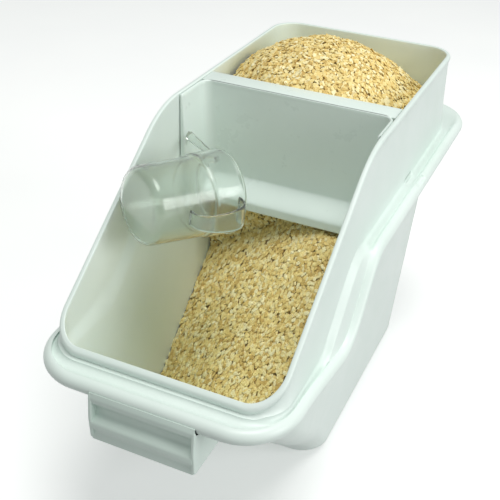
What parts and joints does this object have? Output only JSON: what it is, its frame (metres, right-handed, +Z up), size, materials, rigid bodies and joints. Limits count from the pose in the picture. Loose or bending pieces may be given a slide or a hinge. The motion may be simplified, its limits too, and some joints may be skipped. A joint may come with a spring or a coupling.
{
  "type": "shelf ingredient bin",
  "caption": "Gravity-fed shelf bin: white moulded tub with a sloping access bay, lift-out divider, front pull, hanging clear scoop and a fill of flakes.",
  "frame": {"origin": "middle of the object's footprint on the surface it stands on", "axes": "+X to the right seen from the front, -Y towards the front pull and scooping bay, +Z up"},
  "size_m": [0.2772, 0.6366, 0.422],
  "materials": {
    "tub_plastic": "satin moulded polyethylene, pale mint white",
    "pull_plastic": "satin moulded polyethylene, pale mint white",
    "divider_plastic": "satin sheet plastic, pale mint white",
    "clear_plastic": "clear moulded polycarbonate, glossy",
    "flakes": "dry rolled cereal flakes, matte"
  },
  "bodies": {
    "bin": {"bin_body": "tub_plastic", "front_pull": "pull_plastic", "hopper_grain": "flakes", "bay_grain": "flakes"},
    "divider": {"divider_panel": "divider_plastic", "scoop_hook": "clear_plastic"},
    "scoop": {"scoop_cup": "clear_plastic", "scoop_handle": "clear_plastic"}
  },
  "joints": [
    {"name": "divider_lift", "type": "slide", "parent": "bin", "child": "divider", "axis": [0, 0, 1], "range_m": [0, 0.2]},
    {"name": "scoop_lift", "type": "slide", "parent": "divider", "child": "scoop", "axis": [0, -0.5, 0.866], "range_m": [0, 0.3]}
  ]
}
